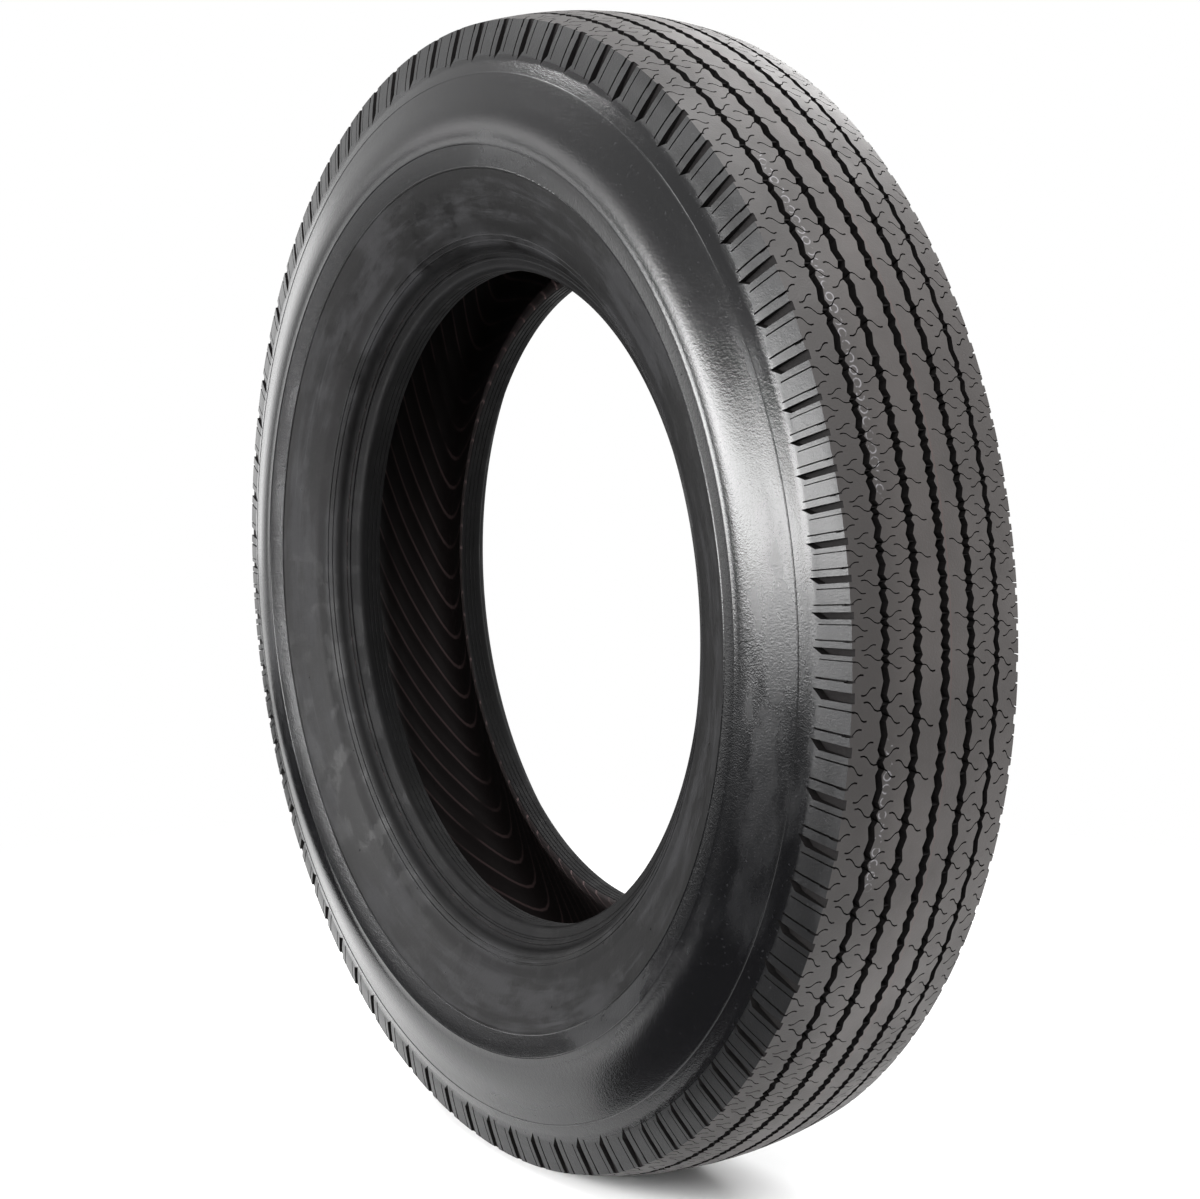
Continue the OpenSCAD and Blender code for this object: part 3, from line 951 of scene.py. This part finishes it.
def make_floor():
    """A wide pale floor that fades into the background and keeps the shadow near the tyre."""
    studio = bpy.context.scene.tyre_studio
    bm = bmesh.new()
    bmesh.ops.create_grid(bm, x_segments=8, y_segments=8, size=14.0)
    bmesh.ops.translate(bm, verts=bm.verts, vec=(0, 0, TYRE_LOW.z))
    floor = object_from(bm, "floor")
    material = bpy.data.materials.new("floor")
    material.use_nodes = True
    tree = material.node_tree
    bsdf = tree.nodes["Principled BSDF"]
    bsdf.inputs["Base Color"].default_value = (*studio.floor_colour, 1)
    bsdf.inputs["Roughness"].default_value = 0.9
    bsdf.inputs["Specular IOR Level"].default_value = 0.0
    glow = tree.nodes.new("ShaderNodeEmission")
    glow.inputs["Color"].default_value = (1, 1, 1, 1)
    place = tree.nodes.new("ShaderNodeTexCoord")
    length = tree.nodes.new("ShaderNodeVectorMath")
    length.operation = "LENGTH"
    tree.links.new(place.outputs["Object"], length.inputs[0])
    far = tree.nodes.new("ShaderNodeMapRange")
    far.interpolation_type = "SMOOTHSTEP"
    far.inputs["From Min"].default_value = 0.45
    far.inputs["From Max"].default_value = 1.1
    tree.links.new(length.outputs["Value"], far.inputs["Value"])
    factor = tree.nodes.new("ShaderNodeMath")
    factor.operation = "MULTIPLY"
    tree.links.new(background_rays(tree), factor.inputs[0])
    tree.links.new(far.outputs[0], factor.inputs[1])
    mix = tree.nodes.new("ShaderNodeMixShader")
    tree.links.new(factor.outputs[0], mix.inputs[0])
    tree.links.new(bsdf.outputs[0], mix.inputs[1])
    tree.links.new(glow.outputs[0], mix.inputs[2])
    tree.links.new(mix.outputs[0], tree.nodes["Material Output"].inputs["Surface"])
    floor.data.materials.append(material)


# Black cards on the floor in front of the sidewall, just outside the camera's view, which keep
# the lower half of its reflections dark: name, turn, low corner and high corner before the turn
CARDS = (
    ("black_card_1", math.radians(-33.6), (0.116, -1.30), (1.00, -0.06)),
    ("black_card_2", math.radians(-20.6), (-1.60, -1.60), (0.60, -0.385)),
)


def make_cards():
    """Two matt black cards, one a little above the other."""
    material = bpy.data.materials.new("black card")
    material.use_nodes = True
    bsdf = material.node_tree.nodes["Principled BSDF"]
    bsdf.inputs["Base Color"].default_value = (0.01, 0.01, 0.01, 1)
    bsdf.inputs["Roughness"].default_value = 0.9
    bsdf.inputs["Specular IOR Level"].default_value = 0.0
    for i, (name, turn, low, high) in enumerate(CARDS):
        bm = bmesh.new()
        bmesh.ops.create_grid(bm, x_segments=1, y_segments=1, size=1.0)
        bmesh.ops.scale(bm, verts=bm.verts, vec=((high[0] - low[0]) / 2, (high[1] - low[1]) / 2, 1))
        bmesh.ops.translate(bm, verts=bm.verts, vec=(
            (high[0] + low[0]) / 2, (high[1] + low[1]) / 2, TYRE_LOW.z + (i + 1) * MM))
        bmesh.ops.rotate(bm, verts=bm.verts, cent=(0, 0, 0), matrix=Matrix.Rotation(turn, 3, "Z"))
        card = object_from(bm, name)
        card.data.materials.append(material)


# Lamps: name, place, point they face, size across and up, power in watts
LAMPS = (
    ("side softbox", (-0.46, -1.50, 0.15), (-0.46, 0, 0.15), (1.76, 0.46), 82.0),
    ("spill softbox", (-1.90, -1.60, 0.68), (0, 0, 0), (1.20, 0.50), 5.0),
    ("high softbox", (-1.25, -0.85, 1.42), (0, 0, 0), (0.40, 0.25), 11.0),
    ("left softbox", (-3.00, -0.20, 0.10), (0, 0, 0), (1.60, 0.90), 5.0),
    ("front softbox", (1.50, -1.10, 1.10), (0, 0, 0), (0.9, 1.2), 30.0),
    ("top softbox", (0.5, 0.2, 2.5), (0, 0, 0), (1.6, 1.6), 80.0),
    ("back softbox", (-1.0, 1.9, 1.6), (0, 0, 0), (1.4, 1.2), 38.0),
    ("right softbox", (1.2, 2.2, 0.1), (0, 0, 0), (1.2, 1.4), 8.0),
)


def make_lamps():
    """Soft area lamps round the tyre."""
    for name, place, aim, size, power in LAMPS:
        lamp = bpy.data.lights.new(name, "AREA")
        lamp.shape = "RECTANGLE"
        lamp.size, lamp.size_y = size
        lamp.energy = power
        holder = bpy.data.objects.new(name, lamp)
        holder.location = place
        holder.rotation_euler = (Vector(aim) - Vector(place)).to_track_quat("-Z", "Y").to_euler()
        bpy.context.scene.collection.objects.link(holder)


def make_world():
    """A white background for the rays that see it, and softer even light for the rest."""
    studio = bpy.context.scene.tyre_studio
    world = bpy.data.worlds.new("studio")
    bpy.context.scene.world = world
    world.use_nodes = True
    tree = world.node_tree
    background = tree.nodes["Background"]
    background.inputs["Color"].default_value = (1, 1, 1, 1)
    strength = tree.nodes.new("ShaderNodeMapRange")
    strength.inputs["To Min"].default_value = studio.sky
    strength.inputs["To Max"].default_value = 1.0
    tree.links.new(background_rays(tree), strength.inputs["Value"])
    tree.links.new(strength.outputs[0], background.inputs["Strength"])


def make_camera():
    """The photograph's camera: side, height, distance, lens and framing."""
    studio = bpy.context.scene.tyre_studio
    a, e = studio.azimuth, studio.elevation
    back = Vector((math.sin(a) * math.cos(e), -math.cos(a) * math.cos(e), math.sin(e)))
    right = Vector((math.cos(a), math.sin(a), 0))
    up = back.cross(right)
    camera = bpy.data.cameras.new("camera")
    camera.sensor_width = 36.0
    camera.lens = studio.lens
    camera.shift_x, camera.shift_y = studio.shift
    holder = bpy.data.objects.new("camera", camera)
    place = right * studio.aim_right + up * studio.aim_up + back * studio.distance
    holder.matrix_world = Matrix.Translation(place) @ Matrix((right, up, back)).transposed().to_4x4()
    bpy.context.scene.collection.objects.link(holder)
    bpy.context.scene.camera = holder


class TYRE_PT_panel(bpy.types.Panel):
    """Lists the sizes, the looks and the pieces."""
    bl_label = "Tyre"
    bl_idname = "TYRE_PT_panel"
    bl_space_type = "VIEW_3D"
    bl_region_type = "UI"
    bl_category = "Tyre"

    def draw(self, context):
        scene = context.scene
        for group in (scene.tyre_sizes, scene.tyre_looks, scene.tyre_studio):
            column = self.layout.column(align=True)
            for name in group.__annotations__:
                column.prop(group, name)
        for operator in OPERATORS:
            self.layout.operator(operator.bl_idname)


OPERATORS = (TYRE_OT_tread, TYRE_OT_casing, TYRE_OT_studio)
CLASSES = (TyreSizes, TyreLooks, StudioSettings) + OPERATORS + (TYRE_PT_panel,)


def register():
    """Register the classes and hang the settings on the scene."""
    for cls in CLASSES:
        bpy.utils.register_class(cls)
    bpy.types.Scene.tyre_sizes = bpy.props.PointerProperty(type=TyreSizes)
    bpy.types.Scene.tyre_looks = bpy.props.PointerProperty(type=TyreLooks)
    bpy.types.Scene.tyre_studio = bpy.props.PointerProperty(type=StudioSettings)


def unregister():
    """Undo register."""
    del bpy.types.Scene.tyre_sizes
    del bpy.types.Scene.tyre_looks
    del bpy.types.Scene.tyre_studio
    for cls in reversed(CLASSES):
        bpy.utils.unregister_class(cls)


def main():
    """Build all pieces and the studio."""
    register()
    for operator in OPERATORS:
        group, name = operator.bl_idname.split(".")
        getattr(getattr(bpy.ops, group), name)()


if __name__ == "__main__":
    main()
